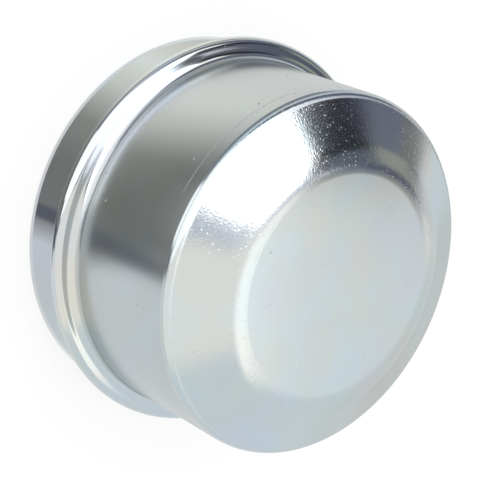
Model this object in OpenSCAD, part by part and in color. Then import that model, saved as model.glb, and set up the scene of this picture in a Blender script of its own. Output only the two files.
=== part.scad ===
// Hub grease cap: a cup deep-drawn and pressed in one piece from zinc-plated sheet steel.
// Its skirt drives into the bore of a wheel hub until the bead stops it, and the closed
// end keeps the grease over the bearing and the spindle nut.
// Millimetres. +Z is the axis, from the open rim to the closed end. The origin is the
// centre of the rim, on the plane that the cap stands on.

/* [Sheet] */
// Thickness of the sheet
sheet_t = 0.9; // [0.6:0.05:1.0]
// Rounding of the rim's outer edge, where the skirt starts into the bore
rim_round = 0.35; // [0.1:0.05:0.5]
// Rounding of the rim's inner edge, left by the trimming die
burr_round = 0.15; // [0.05:0.05:0.3]

/* [Skirt] */
// Outside diameter of the skirt, a press fit in the hub's bore
skirt_d = 50.3; // [38:0.1:72]

/* [Stop bead] */
// Height of the bead's crest above the rim
bead_z = 7.8; // [6:0.05:14]
// How far the crest stands proud of the skirt
bead_rise = 1.45; // [1.2:0.05:2.5]
// Slope of the bead's two flanks against the axis, in degrees
flank_angle = 85; // [75:1:86]
// Inside radius of the bend over the crest
crest_bend = 0.15; // [0.05:0.05:0.25]
// Radius of the bend at the foot of the bead on the skirt's side
skirt_foot_bend = 0.45; // [0.2:0.05:1]
// Radius of the bend at the foot of the bead on the body's side
body_foot_bend = 1.4; // [0.5:0.05:2]

/* [Body] */
// How far the body's wall is set in from the skirt's
body_set_in = 1.2; // [0.3:0.05:2]
// Inside radius of the fold between the body and the cone
shoulder_bend = 0.4; // [0.2:0.05:1.5]

/* [Closed end] */
// Overall height of the cap
cap_h = 32; // [26:0.5:46]
// Diameter at which the flat end and the cone would meet without their blend
end_d = 32.9; // [24:0.1:38]
// Slope of the cone against the flat end, in degrees
cone_angle = 28.9; // [20:0.1:40]
// Inside radius of the soft blend between the cone and the flat end
end_bend = 6.6; // [2:0.1:12]

/* [Hidden] */
$fn = 192;

// Largest turn between two neighbouring points on a bend, in degrees
bend_step = 6;

skirt_r = skirt_d / 2;
body_r = skirt_r - body_set_in;
end_r = end_d / 2;
shoulder_z = cap_h - (body_r - end_r) * tan(cone_angle);

// The bead is a ridge with straight flanks and a round crest. Its peak is where the
// flanks would meet above the crest, and its feet are where they meet the walls.
crest_r = skirt_r + bead_rise;
crest_round = crest_bend + sheet_t;
peak_r = crest_r - crest_round + crest_round / cos(flank_angle);
skirt_foot_z = bead_z - (peak_r - skirt_r) / tan(flank_angle);
body_foot_z = bead_z + (peak_r - body_r) / tan(flank_angle);

// A foot's bend, limited to what the flank leaves below the round of the crest
function foot_bend(bend, rise) = min(bend, rise / (1 - cos(flank_angle)) - crest_round);

// Corners of the sheet's outside from the rim to the axis, as [radius, height], and the
// radius on the hollow side of the bend at each
CORNERS = [
    [skirt_r, 0],
    [skirt_r, skirt_foot_z],
    [peak_r, bead_z],
    [body_r, body_foot_z],
    [body_r, shoulder_z],
    [end_r, cap_h],
    [0, cap_h],
];
BENDS = [
    0,
    foot_bend(skirt_foot_bend, bead_rise),
    crest_bend,
    foot_bend(body_foot_bend, bead_rise + body_set_in),
    shoulder_bend,
    end_bend,
    0,
];
LAST = len(CORNERS) - 1;

function unit(v) = v / norm(v);
function cross2(a, b) = a.x * b.y - a.y * b.x;
function turn(a, b) = atan2(cross2(a, b), a * b);

// Direction of the stretch that leaves corner i, and the normal from it into the cap
function run(i) = unit(CORNERS[i + 1] - CORNERS[i]);
function inward(i) = [-run(i).y, run(i).x];

// The same corner on the sheet's inside, one thickness from both stretches that meet there
function inner_corner(i) =
    let (a = inward(max(i - 1, 0)), b = inward(min(i, LAST - 1)))
    CORNERS[i] + sheet_t * (a + b) / (1 + a * b);

// A corner that turns left bulges outwards, so its outer face runs a thickness further out
function bulges(i) = i > 0 && i < LAST && turn(run(i - 1), run(i)) > 0;
function outer_round(i) = i == 0 ? rim_round : BENDS[i] + (bulges(i) ? sheet_t : 0);
function inner_round(i) =
    i == 0 ? burr_round : i == LAST ? 0 : BENDS[i] + (bulges(i) ? 0 : sheet_t);

// The corner at p between its neighbours, replaced by an arc of radius r
function rounded(before, p, after, r) =
    r == 0 ? [p] :
    let (
        a = unit(p - before),
        b = unit(after - p),
        angle = turn(a, b),
        side = sign(angle),
        start = p - a * r * tan(abs(angle) / 2),
        centre = start + side * r * [-a.y, a.x],
        steps = ceil(abs(angle) / bend_step)
    )
    [for (k = [0 : steps]) centre + turned(start - centre, angle * k / steps)];
function turned(v, angle) =
    [v.x * cos(angle) - v.y * sin(angle), v.x * sin(angle) + v.y * cos(angle)];

// The closed outline of the section: up the outside to the axis and back down the inside
OUTLINE = concat(CORNERS, [for (i = [LAST : -1 : 0]) inner_corner(i)]);
ROUNDS = concat(
    [for (i = [0 : LAST]) outer_round(i)],
    [for (i = [LAST : -1 : 0]) inner_round(i)]
);
COUNT = len(OUTLINE);

module sheet_section() {
    polygon([
        for (i = [0 : COUNT - 1])
            each rounded(
                OUTLINE[(i + COUNT - 1) % COUNT],
                OUTLINE[i],
                OUTLINE[(i + 1) % COUNT],
                ROUNDS[i]
            )
    ]);
}

module grease_cap() {
    color([0.78, 0.80, 0.82])
        rotate_extrude()
            sheet_section();
}

grease_cap();
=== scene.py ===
"""The looks of a hub grease cap: a cup pressed from one zinc-plated sheet, in a plain pale studio.

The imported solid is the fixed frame. One smooth shell, walked and bent like the sheet itself,
stands for it, and carries the bright blue-white zinc finish. Lengths are metres; +Z is the
cap's axis, from the open rim to the closed end.
"""

import logging
import math
from dataclasses import dataclass
from enum import Enum

import bmesh
import bpy
from mathutils import Matrix, Vector


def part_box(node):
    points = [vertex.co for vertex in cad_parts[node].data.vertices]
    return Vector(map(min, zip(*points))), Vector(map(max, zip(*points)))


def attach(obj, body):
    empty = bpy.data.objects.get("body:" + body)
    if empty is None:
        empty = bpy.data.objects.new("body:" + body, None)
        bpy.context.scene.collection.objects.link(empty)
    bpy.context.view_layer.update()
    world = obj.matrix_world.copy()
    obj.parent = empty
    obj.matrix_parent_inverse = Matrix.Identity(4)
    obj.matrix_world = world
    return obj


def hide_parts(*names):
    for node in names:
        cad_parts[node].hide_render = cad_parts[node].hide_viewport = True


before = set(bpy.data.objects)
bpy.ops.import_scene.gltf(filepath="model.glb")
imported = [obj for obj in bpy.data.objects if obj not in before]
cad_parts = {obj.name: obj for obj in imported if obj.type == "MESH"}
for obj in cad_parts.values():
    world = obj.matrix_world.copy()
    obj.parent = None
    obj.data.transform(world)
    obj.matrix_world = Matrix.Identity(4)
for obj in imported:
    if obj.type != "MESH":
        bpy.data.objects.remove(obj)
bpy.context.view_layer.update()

log = logging.getLogger("grease_cap")

MM = 0.001
UP = Vector((0.0, 0.0, 1.0))
FRONT = Vector((0.0, -1.0, 0.0))
ORIGIN = Vector((0.0, 0.0, 0.0))
MERGE_GAP = 0.001 * MM

Colour = tuple[float, float, float]
Edge = tuple[Vector, float]


def heading(azimuth: float, elevation: float = 0.0) -> Vector:
    """Turns two angles into a direction.

    Args:
        azimuth: degrees about +Z, 0 towards -Y (the camera's side), 90 towards +X.
        elevation: degrees above the floor.

    Returns:
        The unit vector.
    """
    turn, rise = math.radians(azimuth), math.radians(elevation)
    return Vector((math.cos(rise) * math.sin(turn), -math.cos(rise) * math.cos(turn), math.sin(rise)))


def new_object(name: str, bm: bmesh.types.BMesh, material: bpy.types.Material) -> bpy.types.Object:
    """Makes a smooth-shaded object of a finished mesh, at the origin.

    Args:
        name: the object's name.
        bm: the mesh, which is freed.
        material: its one material.

    Returns:
        The linked object.
    """
    mesh = bpy.data.meshes.new(name)
    bm.to_mesh(mesh)
    bm.free()
    mesh.polygons.foreach_set("use_smooth", [True] * len(mesh.polygons))
    mesh.materials.append(material)
    thing = bpy.data.objects.new(name, mesh)
    bpy.context.scene.collection.objects.link(thing)
    return thing


class Socket:
    """A shader output that can be used in arithmetic: each operator adds its Math node."""

    def __init__(self, shader: "Shader", link: bpy.types.NodeSocket) -> None:
        """Wraps one output socket of a shader."""
        self.shader = shader
        self.link = link

    def math(self, operation: str, *values: "Socket | float") -> "Socket":
        """Adds one Math node.

        Args:
            operation: the Math node's operation.
            values: the node's values in order.

        Returns:
            The node's output.
        """
        settings = {"operation": operation}
        return self.shader.add("ShaderNodeMath", settings, dict(enumerate(values)))

    def __add__(self, other: "Socket | float") -> "Socket":
        """Sum."""
        return self.math("ADD", self, other)

    def __radd__(self, other: float) -> "Socket":
        """Sum with a number on the left."""
        return self.math("ADD", other, self)

    def __sub__(self, other: "Socket | float") -> "Socket":
        """Difference."""
        return self.math("SUBTRACT", self, other)

    def __rsub__(self, other: float) -> "Socket":
        """Difference from a number."""
        return self.math("SUBTRACT", other, self)

    def __mul__(self, other: "Socket | float") -> "Socket":
        """Product."""
        return self.math("MULTIPLY", self, other)

    def __rmul__(self, other: float) -> "Socket":
        """Product with a number on the left."""
        return self.math("MULTIPLY", other, self)

    def __truediv__(self, other: "Socket | float") -> "Socket":
        """Quotient."""
        return self.math("DIVIDE", self, other)

    def __abs__(self) -> "Socket":
        """Size without its sign."""
        return self.math("ABSOLUTE", self)

    def root(self) -> "Socket":
        """Square root."""
        return self.math("SQRT", self)

    def bearing(self, other: "Socket") -> "Socket":
        """Angle, in radians, whose tangent is this value over the other."""
        return self.math("ARCTAN2", self, other)

    def step(self, low: float, high: float) -> "Socket":
        """Rises smoothly from 0 at low to 1 at high; falls where low is the larger.

        Args:
            low: the value that gives 0.
            high: the value that gives 1.

        Returns:
            The smooth step.
        """
        settings = {"interpolation_type": "SMOOTHSTEP"}
        if low <= high:
            sockets = {"Value": self, "From Min": low, "From Max": high}
            return self.shader.add("ShaderNodeMapRange", settings, sockets)
        return 1.0 - self.step(high, low)

    def band(self, middle: float, half: float, soft: float) -> "Socket":
        """A smooth band: 1 within half of the middle, 0 beyond half + soft."""
        return abs(self - middle).step(half + soft, half)


class Shader:
    """Builds one node tree, for a material or for the world."""

    def __init__(self, owner: "bpy.types.Material | bpy.types.World") -> None:
        """Empties the owner's node tree and holds it."""
        owner.use_nodes = True
        self.tree = owner.node_tree
        self.tree.nodes.clear()

    def add(self, kind: str, settings: dict | None = None, sockets: dict | None = None,
            out: int | str = 0) -> Socket:
        """Adds any node.

        Args:
            kind: the node's type.
            settings: its own settings, set first; "stops" are a ramp's (place, colour) pairs.
            sockets: its sockets by name, identifier or number, each a value or a Socket.
            out: the output to return, by number, name or identifier.

        Returns:
            That output.
        """
        node = self.tree.nodes.new(kind)
        settings = dict(settings or {})
        stops = settings.pop("stops", None)
        for name, value in settings.items():
            setattr(node, name, value)
        if stops:
            self._set_stops(node.color_ramp, stops)
        for name, value in (sockets or {}).items():
            socket = self._find(node.inputs, name)
            if isinstance(value, Socket):
                self.tree.links.new(value.link, socket)
            else:
                socket.default_value = value
        return Socket(self, self._find(node.outputs, out))

    @staticmethod
    def _find(sockets: bpy.types.bpy_prop_collection, name: int | str) -> bpy.types.NodeSocket:
        """Finds a socket by number, identifier or name."""
        if isinstance(name, int):
            return sockets[name]
        return next(s for s in sockets if name in (s.identifier, s.name))

    @staticmethod
    def _set_stops(ramp: bpy.types.ColorRamp, stops: list[tuple[float, Colour]]) -> None:
        """Gives a colour ramp its stops."""
        while len(ramp.elements) > 1:
            ramp.elements.remove(ramp.elements[-1])
        for number, (place, colour) in enumerate(stops):
            element = ramp.elements[0] if number == 0 else ramp.elements.new(place)
            element.position = place
            element.color = (*colour, 1.0)

    def mix(self, factor: Socket | float, first: Socket | Colour, second: Socket | Colour) -> Socket:
        """Mixes two colours: the first at 0, the second at 1."""
        paint = [c if isinstance(c, Socket) else (*c, 1.0) for c in (first, second)]
        sockets = {"Factor_Float": factor, "A_Color": paint[0], "B_Color": paint[1]}
        return self.add("ShaderNodeMix", {"data_type": "RGBA"}, sockets, "Result_Color")

    def dot(self, vector: Socket, other: Vector) -> Socket:
        """Dot product of a vector with a fixed one."""
        sockets = {0: vector, 1: tuple(other)}
        return self.add("ShaderNodeVectorMath", {"operation": "DOT_PRODUCT"}, sockets, "Value")

    def unit(self, vector: Socket) -> Socket:
        """A vector brought to length one."""
        return self.add("ShaderNodeVectorMath", {"operation": "NORMALIZE"}, {0: vector})

    def stretched(self, vector: Socket, scale: tuple[float, float, float], turn: float = 0.0) -> Socket:
        """A pattern's coordinates, turned about +Z by degrees and then scaled along each axis."""
        turned = self.add("ShaderNodeMapping", {"vector_type": "POINT"},
                          {"Vector": vector, "Rotation": (0.0, 0.0, math.radians(turn))})
        return self.add("ShaderNodeMapping", {"vector_type": "POINT"}, {"Vector": turned, "Scale": scale})

    def noise(self, vector: Socket, scale: float, detail: float = 2.0, rough: float = 0.5,
              out: str = "Fac") -> Socket:
        """Cloudy noise; the scale is features a metre."""
        sockets = {"Vector": vector, "Scale": scale, "Detail": detail, "Roughness": rough}
        return self.add("ShaderNodeTexNoise", {"noise_dimensions": "3D"}, sockets, out)

    def finish(self, surface: Socket, kind: str = "ShaderNodeOutputMaterial") -> None:
        """Links the finished shader to the tree's output."""
        output = self.tree.nodes.new(kind)
        self.tree.links.new(surface.link, output.inputs["Surface"])


class Tint(Enum):
    """Colours that the thin passivate film gives to bright zinc, as linear reflectance."""

    GREY = (0.585, 0.620, 0.625)
    BLUE = (0.555, 0.640, 0.690)
    LILAC = (0.600, 0.600, 0.655)
    STRAW = (0.625, 0.632, 0.585)
    DULL = (0.430, 0.450, 0.455)


@dataclass(frozen=True)
class Specks:
    """Scattered specks: how far apart their places are, a speck's radius and the empty places as shares."""

    spacing: float
    reach: float
    empty: float

    def mask(self, shader: Shader, place: Socket) -> Socket:
        """Scatters the specks.

        Args:
            shader: the finish's shader.
            place: the pattern's coordinates.

        Returns:
            1 in the middle of a speck, 0 around it.
        """
        sockets = {"Vector": place, "Scale": 1.0 / self.spacing}
        near = shader.add("ShaderNodeTexVoronoi", {"feature": "F1"}, sockets, "Distance")
        odds = shader.add("ShaderNodeTexVoronoi", {"feature": "F1"}, sockets, "Color")
        pick = shader.add("ShaderNodeSeparateColor", None, {"Color": odds}, "Red")
        return near.step(self.reach, self.reach * 0.4) * pick.step(self.empty, self.empty + 0.05)


@dataclass(frozen=True)
class ZincPlate:
    """Bright zinc over drawn steel: grainy where the sheet was stretched, smooth where it was ironed."""

    cone_foot: float
    end_face: float
    rim_inside: float
    roughness: float = 0.07
    smudge: float = 0.06
    grain_size: float = 0.26 * MM
    cone_grain: float = 15.0e-6
    sparks: Specks = Specks(0.42 * MM, 0.28, 0.55)
    spark_rise: float = 9.0e-6
    wall_grain: float = 0.22e-6
    nicks: Specks = Specks(0.95 * MM, 0.12, 0.72)
    nick_rise: float = 6.0e-6
    pits: Specks = Specks(3.0 * MM, 0.08, 0.50)
    pit_depth: float = 5.0e-6
    scratch_depth: float = 1.5e-6
    draw_line_z: float = 25.3 * MM
    die_line_z: float = 28.24 * MM
    line_half: float = 0.10 * MM
    line_rise: float = 2.0e-6

    def material(self) -> bpy.types.Material:
        """Builds the finish.

        Returns:
            The material.
        """
        finish = bpy.data.materials.new("zinc_plate")
        shader = Shader(finish)
        place = shader.add("ShaderNodeTexCoord", out="Object")
        across, along = self._zones(shader, place)
        cone = along.step(self.cone_foot - 0.9 * MM, self.cone_foot + 0.2 * MM)
        face = along.step(self.end_face - 0.06 * MM, self.end_face - 0.01 * MM)
        inside = self._inside(shader, across, along)
        pits = self.pits.mask(shader, place)
        scratches = self._scratches(shader, place, face)
        colour = self._colour(shader, place, pits, scratches, inside)
        lines = self._lines(shader, place, along)
        rough = self._roughness(shader, place, cone, face, inside, pits + lines)
        relief = self._relief(shader, place, cone, face, pits, scratches, lines)
        heights = {"Strength": 1.0, "Distance": 1.0, "Height": relief}
        bump = shader.add("ShaderNodeBump", None, heights, "Normal")
        sockets = {"Base Color": colour, "Metallic": 1.0, "Roughness": rough, "Normal": bump}
        shader.finish(shader.add("ShaderNodeBsdfPrincipled", None, sockets))
        return finish

    @staticmethod
    def _zones(shader: Shader, place: Socket) -> tuple[Socket, Socket]:
        """Distance from the axis and height above the rim."""
        x, y, z = (shader.add("ShaderNodeSeparateXYZ", None, {"Vector": place}, axis) for axis in "XYZ")
        return (x * x + y * y).root(), z

    def _inside(self, shader: Shader, across: Socket, along: Socket) -> Socket:
        """1 on the inner face of the wall, which is made darker and duller."""
        return across.step(self.rim_inside + 0.02 * MM, self.rim_inside - 0.02 * MM) * \
            along.step(self.cone_foot, self.cone_foot - 1.0 * MM)

    def _lines(self, shader: Shader, place: Socket, along: Socket) -> Socket:
        """The thin matt rings that the dies left: all round above the shoulder, and in part on the wall."""
        x, y = (shader.add("ShaderNodeSeparateXYZ", None, {"Vector": place}, axis) for axis in "XY")
        part = x.step(-2.0 * MM, -4.0 * MM) * y.step(-14.0 * MM, -17.0 * MM)
        draw = along.band(self.draw_line_z, 0.0, self.line_half) * part
        return draw + along.band(self.die_line_z, 0.02 * MM, self.line_half)

    @staticmethod
    def _scratches(shader: Shader, place: Socket, face: Socket) -> Socket:
        """A few hairlines on the flat end, in three directions."""
        marks = None
        for turn, gate in ((24.0, 0.80), (81.0, 0.79), (140.0, 0.80)):
            lane = shader.stretched(place, (5200.0, 240.0, 60.0), turn)
            hair = shader.noise(lane, 1.0, 0.0).step(gate, gate + 0.03)
            marks = hair if marks is None else marks + hair
        return marks * face

    @staticmethod
    def _colour(shader: Shader, place: Socket, pits: Socket, scratches: Socket, inside: Socket) -> Socket:
        """Grey zinc with drifting blue, lilac and straw films."""
        drift = shader.noise(place, 95.0, 3.0, 0.55).step(0.44, 0.60)
        veil = shader.noise(shader.stretched(place, (1.0, 1.0, 1.0), 63.0), 60.0, 2.0, 0.5).step(0.48, 0.66)
        warm = shader.noise(shader.stretched(place, (1.0, 1.0, 1.0), 151.0), 75.0, 2.0, 0.5).step(0.50, 0.68)
        paint = shader.mix(drift * 0.75, Tint.GREY.value, Tint.BLUE.value)
        paint = shader.mix(veil * 0.6, paint, Tint.LILAC.value)
        paint = shader.mix(warm * 0.6, paint, Tint.STRAW.value)
        paint = shader.mix(pits * 0.6, paint, Tint.DULL.value)
        paint = shader.mix(scratches * 0.35, paint, Tint.DULL.value)
        # The inner face of the wall is made darker here.
        return shader.mix(inside * 0.6, paint, Tint.DULL.value)

    def _roughness(self, shader: Shader, place: Socket, cone: Socket, face: Socket, inside: Socket,
                   matt: Socket) -> Socket:
        """Satin that varies with handling, duller on the end and inside, matt at specks and die lines."""
        cloud = shader.noise(place, 130.0, 3.0, 0.6)
        return self.roughness + self.smudge * cloud + 0.03 * cone + 0.04 * face + 0.15 * inside + 0.4 * matt

    def _relief(self, shader: Shader, place: Socket, cone: Socket, face: Socket,
                pits: Socket, scratches: Socket, lines: Socket) -> Socket:
        """Height of the surface's fine relief, in metres."""
        grain = shader.noise(place, 1.0 / self.grain_size, 2.0, 0.60)
        drawn = shader.noise(shader.stretched(place, (1.0, 1.0, 0.4), 27.0), 1.0 / self.grain_size, 3.0, 0.75)
        sparks = self.sparks.mask(shader, place)
        stretched = (grain * self.cone_grain + sparks * self.spark_rise) * (cone * (1.0 - face))
        nicks = self.nicks.mask(shader, place)
        ironed = (drawn * self.wall_grain + nicks * self.nick_rise) * (1.0 - cone)
        marks = lines * self.line_rise - pits * self.pit_depth - scratches * self.scratch_depth
        return stretched + ironed + marks


@dataclass(frozen=True)
class Bend:
    """One corner of the sheet's outside: where its two straight lines would meet, and its radius."""

    radius: float
    height: float
    round: float


@dataclass
class PressedCap:
    """The cap: one sheet from the rim, over the stop bead and the shoulder, to the flat end."""

    body: str = "root"
    node: str = "grease_cap"
    slot: str = "zinc_plate"
    sheet: float = 0.90 * MM
    rim_round: float = 0.35 * MM
    burr_round: float = 0.15 * MM
    skirt_radius: float = 25.15 * MM
    bead_height: float = 7.80 * MM
    bead_rise: float = 1.45 * MM
    flank_angle: float = 85.0
    crest_bend: float = 0.15 * MM
    skirt_foot_bend: float = 0.45 * MM
    body_foot_bend: float = 1.40 * MM
    body_set_in: float = 1.20 * MM
    shoulder_bend: float = 0.40 * MM
    end_radius: float = 16.45 * MM
    cone_angle: float = 28.9
    end_bend: float = 6.60 * MM
    bend_step: float = 4.0
    support: float = 0.12 * MM
    rim_support: float = 0.60 * MM
    turns: int = 360
    rim_segments: int = 4

    def __post_init__(self) -> None:
        """Takes the cap's height from the frame and works out what follows from the sizes."""
        self.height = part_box(self.node)[1].z
        self.body_radius = self.skirt_radius - self.body_set_in
        drop = (self.body_radius - self.end_radius) * math.tan(math.radians(self.cone_angle))
        self.shoulder_height = self.height - drop

    def bends(self) -> list[Bend]:
        """The corners of the sheet's outside, from the skirt to the end.

        Returns:
            One bend for each fold that the press made.
        """
        flank = math.radians(self.flank_angle)
        crest = self.crest_bend + self.sheet
        peak = self.skirt_radius + self.bead_rise - crest + crest / math.cos(flank)
        skirt_foot = self.bead_height - (peak - self.skirt_radius) / math.tan(flank)
        body_foot = self.bead_height + (peak - self.body_radius) / math.tan(flank)
        return [
            Bend(self.skirt_radius, skirt_foot, self.skirt_foot_bend),
            Bend(peak, self.bead_height, crest),
            Bend(self.body_radius, body_foot, self.body_foot_bend),
            Bend(self.body_radius, self.shoulder_height, self.shoulder_bend + self.sheet),
            Bend(self.end_radius, self.height, self.end_bend + self.sheet),
        ]

    def build(self) -> bpy.types.Object:
        """Makes the shell, dresses it and sets it in the frame.

        Returns:
            The finished piece.
        """
        bm = bmesh.new()
        self._walk_sheet(bm)
        self._turn(bm)
        self._thicken(bm)
        self._round_rim(bm)
        finish = ZincPlate(self.shoulder_height, self.height, self.skirt_radius - self.sheet)
        shell = new_object("cap_shell", bm, finish.material())
        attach(shell, self.body)
        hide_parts(self.node)
        log.info("cap_shell: %d faces for %s", len(shell.data.polygons), self.node)
        return shell

    def _walk_sheet(self, bm: bmesh.types.BMesh) -> None:
        """Draws the sheet's outside in the XZ plane, a straight run and a bend at a time."""
        corners = [Vector((b.radius, 0.0, b.height)) for b in self.bends()]
        ends = [Vector((self.skirt_radius, 0.0, 0.0)), *corners, Vector((0.0, 0.0, self.height))]
        tip = bm.verts.new(ends[0])
        for number, bend in enumerate(self.bends(), 1):
            before = (ends[number] - ends[number - 1]).normalized()
            after = (ends[number + 1] - ends[number]).normalized()
            turn = before.angle(after) * (1.0 if before.cross(after).y < 0.0 else -1.0)
            start = ends[number] - before * (bend.round * math.tan(abs(turn) / 2.0))
            side = FRONT.cross(before) * math.copysign(1.0, turn)
            lead = self.rim_support if number == 1 else self.support
            tip = self._straight(bm, tip, start, lead)
            tip = self._bend(bm, tip, start + side * bend.round, turn)
        self._straight(bm, tip, ends[-1], self.support)

    def _straight(self, bm: bmesh.types.BMesh, tip: bmesh.types.BMVert, goal: Vector,
                  lead: float) -> bmesh.types.BMVert:
        """Extrudes the sheet's tip straight to a point, with a support ring near either end.

        Args:
            bm: the mesh.
            tip: the last vertex of the sheet.
            goal: where the straight run ends.
            lead: how far the first support ring lies from the start.

        Returns:
            The new tip.
        """
        run = goal - tip.co
        first, last = (run.normalized() * min(gap, run.length / 3.0) for gap in (lead, self.support))
        for move in (first, run - first - last, last):
            tip = bmesh.ops.extrude_vert_indiv(bm, verts=[tip])["verts"][0]
            bmesh.ops.translate(bm, verts=[tip], vec=move)
        return tip

    def _bend(self, bm: bmesh.types.BMesh, tip: bmesh.types.BMVert, centre: Vector,
              turn: float) -> bmesh.types.BMVert:
        """Spins the sheet's tip about a bend's centre.

        Args:
            bm: the mesh.
            tip: the last vertex of the sheet.
            centre: the middle of the bend.
            turn: the angle, in radians, positive where the sheet turns inwards.

        Returns:
            The new tip.
        """
        steps = math.ceil(math.degrees(abs(turn)) / self.bend_step)
        spun = bmesh.ops.spin(bm, geom=[tip], cent=centre, axis=FRONT, dvec=ORIGIN,
                              angle=turn, steps=steps, use_merge=False)
        return next(v for v in spun["geom_last"] if isinstance(v, bmesh.types.BMVert))

    def _turn(self, bm: bmesh.types.BMesh) -> None:
        """Spins the sheet's line all the way round the axis, and closes the pole."""
        bmesh.ops.spin(bm, geom=bm.verts[:] + bm.edges[:], cent=ORIGIN, axis=UP, dvec=ORIGIN,
                       angle=math.tau, steps=self.turns, use_merge=True)
        bmesh.ops.remove_doubles(bm, verts=bm.verts, dist=MERGE_GAP)
        bmesh.ops.recalc_face_normals(bm, faces=bm.faces)
        if sum(f.normal.z for f in bm.faces) < 0.0:
            bmesh.ops.reverse_faces(bm, faces=bm.faces)

    def _thicken(self, bm: bmesh.types.BMesh) -> None:
        """Gives the sheet its thickness, towards the inside."""
        bmesh.ops.solidify(bm, geom=bm.faces[:], thickness=self.sheet)

    def _round_rim(self, bm: bmesh.types.BMesh) -> None:
        """Rounds the rim's two edges, by more on the outside."""
        inner = self.skirt_radius - self.sheet
        for radius, offset in ((self.skirt_radius, self.rim_round), (inner, self.burr_round)):
            ring = [e for e in bm.edges if all(
                abs(v.co.z) < MERGE_GAP and abs(v.co.xy.length - radius) < 0.01 * MM for v in e.verts)]
            bmesh.ops.bevel(bm, geom=ring, offset=offset, offset_type="OFFSET", segments=self.rim_segments,
                            profile=0.5, affect="EDGES", clamp_overlap=True, material=-1)


@dataclass(frozen=True)
class Card:
    """A sheet of card or cloth hung in the tent, seen only in the metal.

    Its edges are planes: a direction lies on the card where its dot product with each
    edge's vector is more than the edge's bound.
    """

    name: str
    light: Colour
    edges: tuple[Edge, ...]
    soft: float = 0.03

    def mask(self, shader: Shader, direction: Socket) -> Socket:
        """1 on the card, 0 off it.

        Args:
            shader: the tent's shader.
            direction: the direction looked in.

        Returns:
            The mask.
        """
        covered = None
        for normal, bound in self.edges:
            inside = shader.dot(direction, normal).step(bound - self.soft, bound + self.soft)
            covered = inside if covered is None else covered * inside
        return covered


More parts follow.
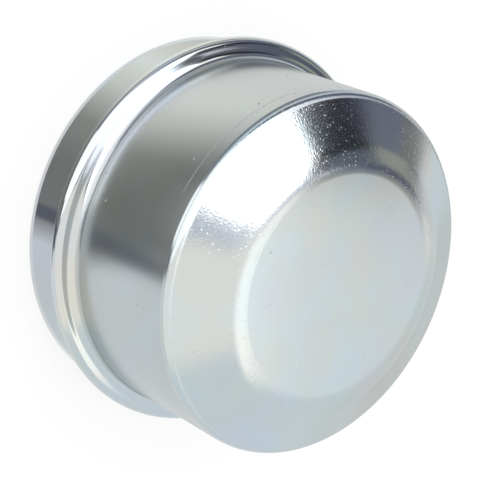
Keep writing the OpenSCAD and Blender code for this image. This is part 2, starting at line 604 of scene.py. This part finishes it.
@dataclass(frozen=True)
class LightTent:
    """A round white tent over the cap, with two big soft lights, a cream reflector and dark cloths in it."""

    radius: float = 0.60
    segments: int = 64
    paper: Colour = (0.86, 0.93, 0.96)
    end_sight: Vector = Vector((0.0, 0.7283, 0.6853))

    def _beside(self, angle: float) -> Edge:
        """An edge that runs out from where the flat end looks.

        Args:
            angle: degrees, seen from above, from the camera's side towards +X.

        Returns:
            The edge; its card lies on the side of the larger angles.
        """
        turn = math.radians(angle)
        side = Vector((math.cos(turn), math.sin(turn), 0.0))
        return side, side.dot(self.end_sight)

    @staticmethod
    def _flip(edge: Edge) -> Edge:
        """The same edge with its card on the other side."""
        return edge[0] * -1.0, -edge[1]

    def cards(self) -> list[Card]:
        """The cards in the order in which they are hung, each over the ones before.

        Returns:
            The cards.
        """
        beside, flip = self._beside, self._flip
        light_right = (Vector((-0.838, -0.523, -0.155)), 0.100)
        light_back = (Vector((-0.927, -0.375, 0.0)), 0.042)
        light_left = (Vector((0.588, -0.809, 0.0)), -0.443)
        light_foot = (Vector((0.719, -0.109, 0.686)), -0.240)
        cream_left = (Vector((0.972, 0.235, 0.0)), 0.000)
        front_cream = (Vector((0.943, 0.089, 0.350)), 0.379)
        strip_top = (Vector((0.30, 0.20, 1.0)), -0.16)
        high = (UP, 0.62)
        bright = (3.20, 3.20, 3.26)
        milky = (1.62, 1.64, 1.68)
        lilac = (0.92, 0.93, 1.02)
        return [
            Card("back cloth", (0.68, 0.72, 0.70), ((heading(180.0), 0.93),), 0.08),
            Card("left back", (0.86, 0.87, 0.84), ((heading(-150.0), 0.62),), 0.15),
            Card("cream reflector", (1.15, 1.11, 1.04), (cream_left, flip(beside(46.0))), 0.06),
            Card("cream edge", (1.55, 1.52, 1.44),
                 (cream_left, flip(beside(62.0)), (self.end_sight, 0.86)), 0.04),
            Card("olive cloth", (0.185, 0.195, 0.18), (beside(-104.5), flip(beside(-72.0))), 0.035),
            Card("olive fold", (0.42, 0.43, 0.37),
                 (beside(-99.0), flip(beside(-74.0)), (self.end_sight, 0.75)), 0.06),
            Card("black flag", (0.04, 0.04, 0.048), (beside(-74.0), flip(beside(-42.0))), 0.02),
            Card("left low cloth", (0.60, 0.61, 0.58),
                 (beside(-112.0), flip(beside(-46.0)), flip((self.end_sight, 0.57))), 0.04),
            Card("navy fold", (0.14, 0.15, 0.19),
                 (beside(-76.0), flip(beside(-42.0)), (self.end_sight, 0.79)), 0.03),
            Card("navy cloth", (0.14, 0.145, 0.20),
                 (beside(-104.0), flip(cream_left), (self.end_sight, 0.935)), 0.02),
            Card("seam cloth", lilac, (flip(cream_left), flip(light_back), (UP, 0.80)), 0.02),
            Card("seam fold", lilac, (flip(cream_left), flip(light_right), (UP, 0.80), (FRONT, 0.0)), 0.02),
            Card("white above the end", (0.97, 1.00, 1.00), ((self.end_sight, 0.9935),), 0.003),
            Card("low grey", (0.90, 0.92, 0.92), ((heading(-100.0), 0.30), flip((UP, 0.13))), 0.04),
            Card("dark strip", (0.20, 0.21, 0.27),
                 ((heading(-75.0), 0.40), flip(light_foot), strip_top), 0.03),
            Card("overhead light", bright, (light_left, light_back, light_right, high), 0.02),
            Card("top light", bright,
                 (light_left, light_back, flip(beside(-9.0)), flip((FRONT, 0.27)), high), 0.02),
            Card("front light", milky,
                 ((heading(-13.0), 0.0), light_foot, light_right, flip((UP, 0.66))), 0.02),
            Card("front seam", (0.30, 0.31, 0.38),
                 (flip(light_right), flip(front_cream), (FRONT, 0.32)), 0.015),
            Card("low front seam", (0.12, 0.13, 0.16),
                 (flip(light_right), flip(front_cream), flip((UP, 0.55)), (FRONT, 0.15)), 0.015),
        ]

    def material(self) -> bpy.types.Material:
        """Paints the tent by direction.

        Returns:
            The material.
        """
        cloth = bpy.data.materials.new("light_tent")
        shader = Shader(cloth)
        place = shader.add("ShaderNodeTexCoord", out="Object")
        direction = shader.unit(place)
        light = shader.mix(0.0, self.paper, self.paper)
        for card in self.cards():
            light = shader.mix(card.mask(shader, direction), light, card.light)
        shader.finish(shader.add("ShaderNodeEmission", None, {"Color": light, "Strength": 1.0}))
        cloth.cycles.emission_sampling = "NONE"
        return cloth

    def build(self) -> bpy.types.Object:
        """Hangs the tent over the floor.

        Returns:
            The tent.
        """
        bm = bmesh.new()
        bmesh.ops.create_uvsphere(bm, u_segments=self.segments, v_segments=self.segments // 2,
                                  radius=self.radius)
        bmesh.ops.bisect_plane(bm, geom=bm.verts[:] + bm.edges[:] + bm.faces[:], plane_co=ORIGIN,
                               plane_no=UP, clear_inner=True)
        tent = new_object("light_tent", bm, self.material())
        seen_only_in_metal(tent)
        log.info("light_tent: %d cards", len(self.cards()))
        return tent


@dataclass(frozen=True)
class GroundCard:
    """A printed card round the cap's foot, seen only in the metal; its bands follow the mirrored rays."""

    inner: float = 25.6 * MM
    outer: float = 590.0 * MM
    lift: float = 0.25 * MM
    wall_radius: float = 24.5 * MM
    wall_reach: float = 28.5 * MM
    far_paper: Colour = (0.80, 0.85, 0.87)
    back_paper: Colour = (0.71, 0.73, 0.71)
    seam: Colour = (0.15, 0.16, 0.185)
    deep: Colour = (0.12, 0.125, 0.11)
    light_foot: Colour = (1.80, 1.82, 1.86)
    strip: Colour = (0.10, 0.105, 0.12)
    strip_along: Vector = Vector((-0.43, 0.903, 0.0))
    strip_across: Vector = Vector((0.903, 0.43, 0.0))
    strip_aside: float = 15.0 * MM
    strip_spread: float = 0.12
    segments: int = 96
    sweep: float = 200.0
    lean: float = 800.0
    lean_from: float = 40.0 * MM

    def stops(self, ring: str) -> list[tuple[float, Colour]]:
        """Tints of one ring by the wall's angle, which the walls mirror.

        Args:
            ring: "skirt", "body" or "far", the last for the bead and the shoulder.

        Returns:
            Ramp stops, with the angle as a share of the sweep.
        """
        end, far_end = (0.80, 0.82, 0.82), (0.70, 0.71, 0.70)
        tints = {
            "skirt": ((-98.0, (0.72, 0.73, 0.73)), (-60.0, (0.74, 0.74, 0.70)), (-40.0, (1.06, 1.05, 0.97)),
                      (-28.0, (0.86, 0.855, 0.79)), (-14.0, (0.37, 0.375, 0.34)), (0.0, (0.25, 0.26, 0.235)),
                      (17.0, (0.26, 0.265, 0.25)), (25.0, (0.82, 0.85, 0.87)), (98.0, (0.72, 0.73, 0.73))),
            "body": ((-98.0, end), (-76.0, (0.95, 0.95, 0.93)), (-41.0, (1.24, 1.22, 1.12)),
                     (-29.0, (1.00, 0.985, 0.91)), (-15.0, (0.38, 0.385, 0.35)), (0.0, (0.255, 0.26, 0.235)),
                     (17.0, (0.27, 0.275, 0.26)), (24.0, (1.03, 1.06, 1.08)), (98.0, end)),
            "far": ((-98.0, far_end), (-63.0, (0.84, 0.85, 0.85)), (-54.0, (0.30, 0.33, 0.36)),
                    (-12.0, (0.30, 0.33, 0.40)), (16.0, (0.16, 0.17, 0.19)), (17.5, (1.00, 0.98, 0.92)),
                    (70.0, (0.95, 0.97, 0.98)), (98.0, far_end)),
        }
        return [(angle / self.sweep + 0.5, tint) for angle, tint in tints[ring]]

    def material(self) -> bpy.types.Material:
        """Prints the card.

        Returns:
            The material.
        """
        card = bpy.data.materials.new("ground_card")
        shader = Shader(card)
        place = shader.add("ShaderNodeTexCoord", out="Object")
        x, y = (shader.add("ShaderNodeSeparateXYZ", None, {"Vector": place}, axis) for axis in "XY")
        across = (x * x + y * y).root()
        bearing = x.bearing(0.0 - y) * math.degrees(1.0)
        wall = bearing * across / (across * 2.0 - self.wall_radius)
        light = self._near(shader, across, wall)
        far = (across - self._wall_top(wall)).step(0.0, 1.2 * MM)
        light = shader.mix(far, light, self._ring(shader, "far", wall))
        light = shader.mix(wall.band(-0.75, 8.2, 1.5) * far, light, self.light_foot)
        light = shader.mix(across.step(110.0 * MM, 200.0 * MM), light, self.far_paper)
        back = (abs(x) - y * 0.25).step(30.0 * MM, -10.0 * MM) * across.step(60.0 * MM, 110.0 * MM)
        light = shader.mix(back, light, self.back_paper)
        light = shader.mix(self._back_strip(shader, place), light, self.strip)
        shader.finish(shader.add("ShaderNodeEmission", None, {"Color": light, "Strength": 1.0}))
        card.cycles.emission_sampling = "NONE"
        return card

    def _ring(self, shader: Shader, ring: str, angle: Socket) -> Socket:
        """One ring's tints at an angle in degrees."""
        share = angle * (1.0 / self.sweep) + 0.5
        return shader.add("ShaderNodeValToRGB", {"stops": self.stops(ring)}, {"Fac": share}, "Color")

    def _near(self, shader: Shader, across: Socket, wall: Socket) -> Socket:
        """What the skirt and the wall mirror: the tints lean with height, and a dark seam stands upright."""
        leaning = wall + (across - self.lean_from) * self.lean
        high = across.step(30.0 * MM, 31.5 * MM)
        shade = across.step(38.0 * MM, 46.0 * MM) * wall.band(-1.0, 10.0, 8.0)
        light = shader.mix(high, self._ring(shader, "skirt", wall), self._ring(shader, "body", leaning))
        light = shader.mix(shade * 0.7, light, self.deep)
        light = shader.mix(wall.band(18.5, 2.3, 1.5) * high, light, self.seam)
        return shader.mix(wall.band(16.0, 1.0, 2.0) * (1.0 - high), light, self.seam)

    def _wall_top(self, wall: Socket) -> Socket:
        """How far out the wall's upper edge is mirrored, at a wall angle in degrees."""
        fold = (wall * math.radians(1.0)).math("COSINE", wall * math.radians(1.0))
        own = self.wall_radius ** 2 + self.wall_reach ** 2
        return (fold * (2.0 * self.wall_radius * self.wall_reach) + own).root()

    def _back_strip(self, shader: Shader, place: Socket) -> Socket:
        """1 on a dark strip behind the cap, which the bead's far side mirrors."""
        side = shader.dot(place, self.strip_across)
        run = shader.dot(place, self.strip_along)
        spread = abs(side + self.strip_aside) - run * self.strip_spread
        ends = run.step(29.0 * MM, 34.0 * MM) * run.step(100.0 * MM, 70.0 * MM)
        return spread.step(3.0 * MM, -2.0 * MM) * ends

    def build(self) -> bpy.types.Object:
        """Lays the card round the cap's foot.

        Returns:
            The card.
        """
        bm = bmesh.new()
        bmesh.ops.create_circle(bm, cap_ends=False, segments=self.segments, radius=self.inner)
        bmesh.ops.translate(bm, verts=bm.verts, vec=UP * self.lift)
        rim = bmesh.ops.extrude_edge_only(bm, edges=bm.edges[:])["geom"]
        reach = self.outer / self.inner
        outer = [v for v in rim if isinstance(v, bmesh.types.BMVert)]
        bmesh.ops.scale(bm, vec=(reach, reach, 1.0), verts=outer)
        card = new_object("ground_card", bm, self.material())
        seen_only_in_metal(card)
        log.info("ground_card: laid to %.0f mm", self.outer / MM)
        return card


def seen_only_in_metal(thing: bpy.types.Object) -> None:
    """Leaves an object to mirrored rays: the camera, shadows and plain light pass it by."""
    thing.visible_camera = False
    thing.visible_diffuse = False
    thing.visible_transmission = False
    thing.visible_volume_scatter = False
    thing.visible_shadow = False


@dataclass(frozen=True)
class Studio:
    """The pale floor, the white surround and one soft lamp."""

    floor_reach: float = 6.0
    floor_paint: Colour = (0.90, 0.90, 0.90)
    backdrop_share: float = 0.72
    backdrop_light: float = 1.04
    lamp_size: float = 0.5
    lamp_distance: float = 0.8
    lamp_power: float = 1.2

    def build(self) -> None:
        """Lays the floor, lights the surround and hangs the lamp."""
        self._floor()
        self._surround()
        self._lamp()
        log.info("studio: floor, surround and lamp")

    def _floor(self) -> None:
        """A plain floor that the camera and the metal see as white, with the cap's shadow kept."""
        paint = bpy.data.materials.new("floor")
        shader = Shader(paint)
        matt = shader.add("ShaderNodeBsdfDiffuse", None, {"Color": (*self.floor_paint, 1.0)})
        white = shader.add("ShaderNodeEmission", None,
                           {"Color": (1.0, 1.0, 1.0, 1.0), "Strength": self.backdrop_light})
        kinds = ("Is Camera Ray", "Is Glossy Ray", "Is Transmission Ray")
        camera, glossy, through = (shader.add("ShaderNodeLightPath", out=kind) for kind in kinds)
        seen = camera.math("MAXIMUM", camera.math("MAXIMUM", camera, glossy), through)
        share = seen * self.backdrop_share
        shader.finish(shader.add("ShaderNodeMixShader", None, {0: share, 1: matt, 2: white}))
        bm = bmesh.new()
        bmesh.ops.create_grid(bm, x_segments=1, y_segments=1, size=self.floor_reach)
        new_object("floor", bm, paint)

    @staticmethod
    def _surround() -> None:
        """An even white surround of plain strength."""
        world = bpy.data.worlds.new("surround")
        bpy.context.scene.world = world
        shader = Shader(world)
        light = shader.add("ShaderNodeBackground", None, {"Color": (1.0, 1.0, 1.0, 1.0), "Strength": 1.0})
        shader.finish(light, "ShaderNodeOutputWorld")

    def _lamp(self) -> None:
        """A soft square lamp up front and to the left, for the floor's shadow; the metal doesn't see it."""
        light = bpy.data.lights.new("soft_lamp", "AREA")
        light.shape = "SQUARE"
        light.size = self.lamp_size
        light.energy = self.lamp_power
        lamp = bpy.data.objects.new("soft_lamp", light)
        lamp.location = heading(-35.0, 58.0) * self.lamp_distance
        lamp.rotation_euler = lamp.location.to_track_quat("Z", "Y").to_euler()
        lamp.visible_camera = False
        lamp.visible_glossy = False
        bpy.context.scene.collection.objects.link(lamp)


@dataclass(frozen=True)
class Viewpoint:
    """The camera: above the closed end, rolled until the cap's axis points down to the right."""

    aim: Vector = Vector((-0.176 * MM, 0.0, 12.139 * MM))
    distance: float = 225.54 * MM
    azimuth: float = 0.065
    elevation: float = 46.942
    roll: float = 114.531
    sensor: float = 36.0
    focal_pixels: float = 1700.0
    picture_pixels: float = 480.0

    def build(self) -> bpy.types.Object:
        """Sets the camera up.

        Returns:
            The camera.
        """
        lens = bpy.data.cameras.new("camera")
        lens.sensor_width = self.sensor
        lens.lens = self.sensor * self.focal_pixels / self.picture_pixels
        lens.clip_start = 0.01
        camera = bpy.data.objects.new("camera", lens)
        back = heading(self.azimuth, self.elevation)
        level = UP.cross(back).normalized()
        right = Matrix.Rotation(math.radians(self.roll), 3, back) @ level
        turn = Matrix((right, back.cross(right), back)).transposed()
        camera.matrix_world = Matrix.Translation(self.aim + back * self.distance) @ turn.to_4x4()
        bpy.context.scene.collection.objects.link(camera)
        bpy.context.scene.camera = camera
        log.info("camera: %.0f mm lens", lens.lens)
        return camera


def main() -> None:
    """Builds the cap and its studio."""
    logging.basicConfig(level=logging.INFO, format="%(message)s")
    bpy.context.scene.view_settings.view_transform = "Standard"
    Viewpoint().build()
    Studio().build()
    LightTent().build()
    GroundCard().build()
    PressedCap().build()


if __name__ == "__main__":
    main()
